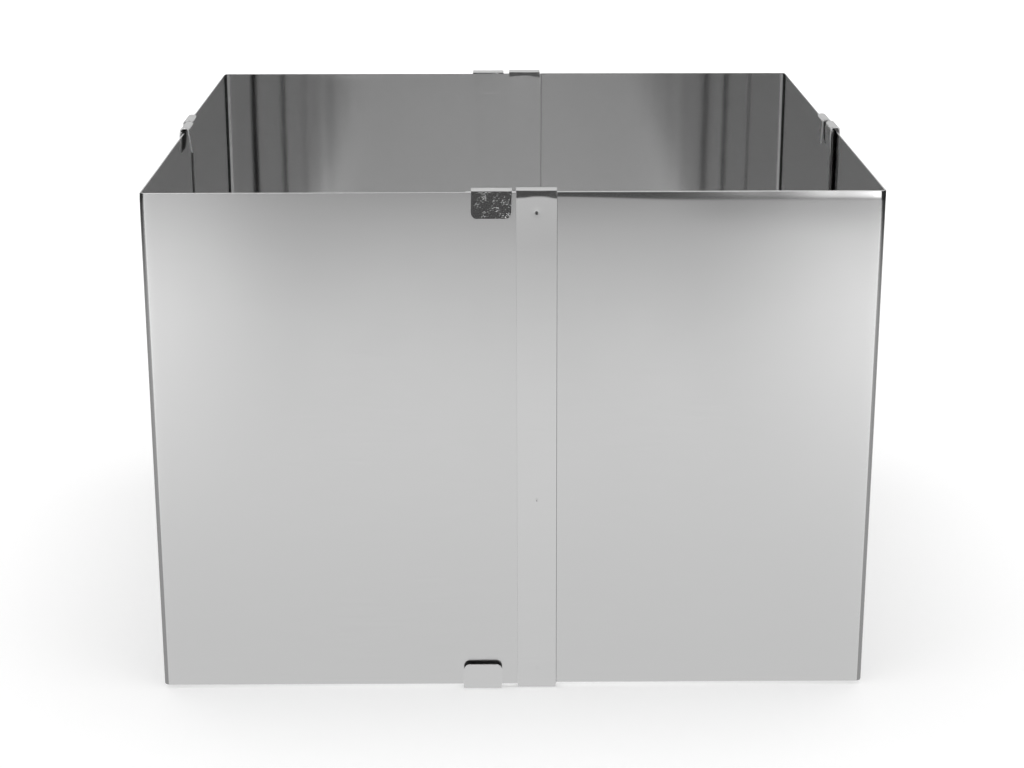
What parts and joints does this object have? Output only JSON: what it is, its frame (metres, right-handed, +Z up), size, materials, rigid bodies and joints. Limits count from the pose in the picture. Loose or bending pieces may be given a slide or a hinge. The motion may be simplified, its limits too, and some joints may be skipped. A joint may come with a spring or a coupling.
{
  "type": "adjustable cake frame",
  "caption": "Square bottomless cake frame of thin stainless sheet, its overlapping corner sheets sliding inside hooked straps to change width and depth.",
  "frame": {"origin": "centre of the overall box at its base, where the straps' lower hooks stand on the surface", "axes": "+Z up, +X to the right and -Y towards the viewer in the picture, so the front wall faces -Y"},
  "size_m": [0.286, 0.286, 0.2031],
  "materials": {
    "stainless_sheet": "bright cold-rolled sheet with a fine grain",
    "stainless_strap": "bright strip, lightly scratched, with pressed spot-weld marks"
  },
  "bodies": {
    "front_left_corner": {"front_left_sheet": "stainless_sheet", "front_outer_strap": "stainless_strap", "left_inner_strap": "stainless_strap"},
    "front_right_corner": {"front_right_sheet": "stainless_sheet", "right_outer_strap": "stainless_strap", "front_inner_strap": "stainless_strap"},
    "back_left_corner": {"back_left_sheet": "stainless_sheet", "left_outer_strap": "stainless_strap", "back_inner_strap": "stainless_strap"},
    "back_right_corner": {"back_right_sheet": "stainless_sheet", "back_outer_strap": "stainless_strap", "right_inner_strap": "stainless_strap"}
  },
  "joints": [
    {"name": "width_slide", "type": "slide", "parent": "front_left_corner", "child": "front_right_corner", "axis": [1, 0, 0], "range_m": [-0.117, 0.0015]},
    {"name": "depth_slide", "type": "slide", "parent": "front_left_corner", "child": "back_left_corner", "axis": [0, 1, 0], "range_m": [-0.117, 0.0025]},
    {"name": "right_depth_slide", "type": "slide", "parent": "front_right_corner", "child": "back_right_corner", "axis": [0, 1, 0], "range_m": [-0.117, 0.0025]}
  ],
  "couplings": [
    {"joint": "right_depth_slide", "follows": "depth_slide", "ratio": 1}
  ]
}
